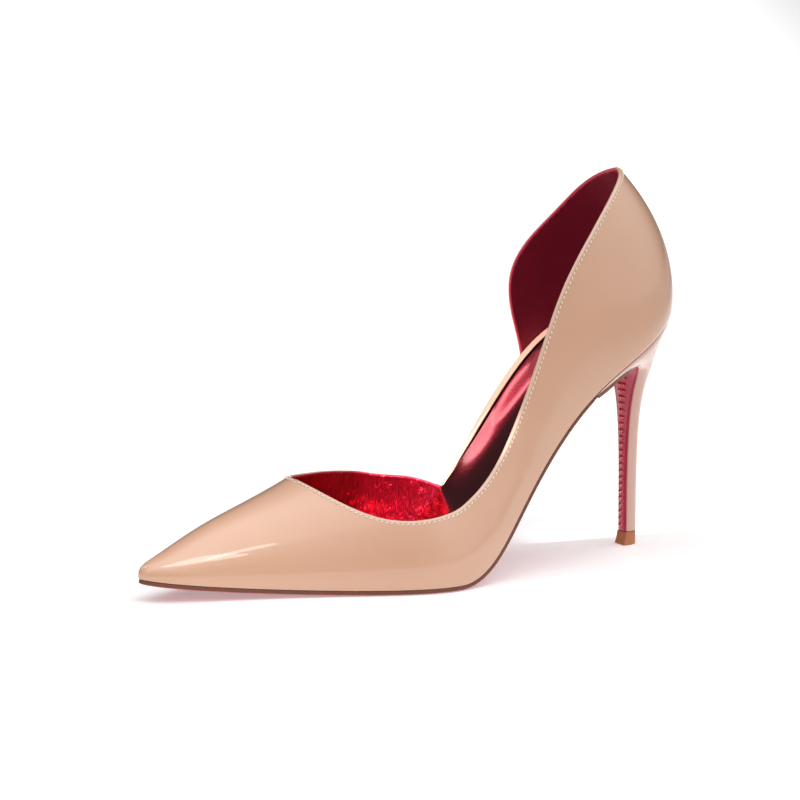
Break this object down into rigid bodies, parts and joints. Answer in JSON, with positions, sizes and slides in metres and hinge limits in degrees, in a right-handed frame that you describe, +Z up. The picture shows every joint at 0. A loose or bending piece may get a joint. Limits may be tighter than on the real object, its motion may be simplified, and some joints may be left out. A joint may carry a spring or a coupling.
{
  "type": "stiletto heel pump",
  "caption": "Pointed-toe stiletto pump for the left foot: glossy low-cut upper open along the inner waist, thin leather sole, slim high heel with a stone-set front panel.",
  "frame": {"origin": "on the floor under the middle of the shoe's box", "axes": "+X from the toe to the heel, +Y towards the inner side of the left foot, +Z up"},
  "size_m": [0.2284, 0.078, 0.1476],
  "materials": {
    "patent_upper": "nude patent, high gloss",
    "sock": "burgundy metallic foil",
    "patent_binding": "nude patent, high gloss",
    "sole": "red lacquered bottom with a plain brown edge",
    "heel_cover": "nude patent, high gloss",
    "panel": "dark red with set stones",
    "heel_tip": "tan, matte"
  },
  "bodies": {
    "root": {"upper": "patent_upper", "insole": "sock", "waist_binding": "patent_binding", "outsole": "sole", "heel": "heel_cover", "breast_panel": "panel", "top_piece": "heel_tip"}
  },
  "joints": []
}
